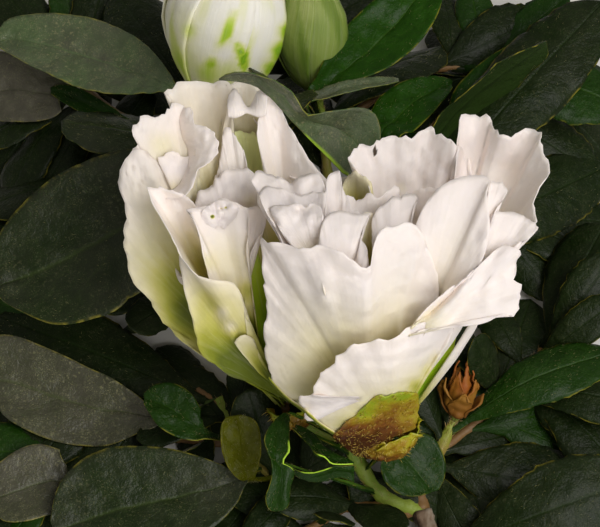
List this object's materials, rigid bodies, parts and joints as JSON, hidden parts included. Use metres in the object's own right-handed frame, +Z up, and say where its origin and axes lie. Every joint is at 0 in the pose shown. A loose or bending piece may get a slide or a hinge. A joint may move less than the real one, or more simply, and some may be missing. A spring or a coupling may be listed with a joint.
{
  "type": "cut azalea branch in flower",
  "caption": "Cut branch of a white double azalea lying on a level surface, with open blooms, greenish buds, glossy leaves and a woody stem.",
  "frame": {"origin": "on the level surface that the branch lies on, under the middle of its outline", "axes": "+Z up, -Y towards the cut end of the stem, +X to the right when seen from the cut end"},
  "size_m": [0.118, 0.167, 0.0652],
  "materials": {
    "bark": "rough grey-brown young bark",
    "green_shoot": "soft green bark with fine flat hairs",
    "leaf": "glossy dark green leaf, paler green below",
    "petal": "thin white petal, greenish towards its foot",
    "bud": "greenish white folded petals",
    "calyx": "sticky hairy cup, yellow green to orange brown",
    "dry_bud": "dry orange brown bud scales"
  },
  "bodies": {
    "root": {"stem": "bark", "shoot_front": "green_shoot", "shoot_left": "green_shoot", "shoot_back": "green_shoot", "shoot_right": "green_shoot", "shoot_middle": "green_shoot", "shoot_far": "green_shoot", "stalk_right": "green_shoot", "stalk_left": "green_shoot", "stalk_bud_large": "green_shoot", "stalk_bud_slim": "green_shoot", "stalk_bud_dry": "green_shoot", "calyx_right": "calyx", "calyx_left": "calyx", "bud_large": "bud", "bud_slim": "bud", "bud_dry": "dry_bud", "bloom_right": "petal", "bloom_left": "petal", "leaf_left_upper": "leaf", "leaf_left_lower": "leaf", "leaf_left_under": "leaf", "leaf_left_corner": "leaf", "leaf_front_left": "leaf", "leaf_small_left": "leaf", "leaf_young": "leaf", "leaf_round": "leaf", "leaf_torn": "leaf", "leaf_torn_half": "leaf", "leaf_strip": "leaf", "leaf_arched": "leaf", "leaf_top_left": "leaf", "leaf_top_left_low": "leaf", "leaf_narrow_left": "leaf", "leaf_round_left": "leaf", "leaf_top": "leaf", "leaf_bright": "leaf", "leaf_bright_behind": "leaf", "leaf_edge_on": "leaf", "leaf_low_angle": "leaf", "leaf_behind_bloom": "leaf", "leaf_top_right": "leaf", "leaf_right_upper": "leaf", "leaf_right": "leaf", "leaf_right_lower": "leaf", "leaf_right_corner": "leaf", "leaf_stem_1": "leaf", "leaf_stem_2": "leaf", "leaf_stem_3": "leaf", "leaf_stem_4": "leaf", "leaf_stem_5": "leaf", "leaf_rear_1": "leaf", "leaf_rear_2": "leaf", "leaf_rear_3": "leaf", "leaf_rear_4": "leaf", "leaf_far_1": "leaf", "leaf_far_2": "leaf", "leaf_far_3": "leaf", "leaf_middle_1": "leaf", "leaf_middle_2": "leaf"}
  },
  "joints": []
}
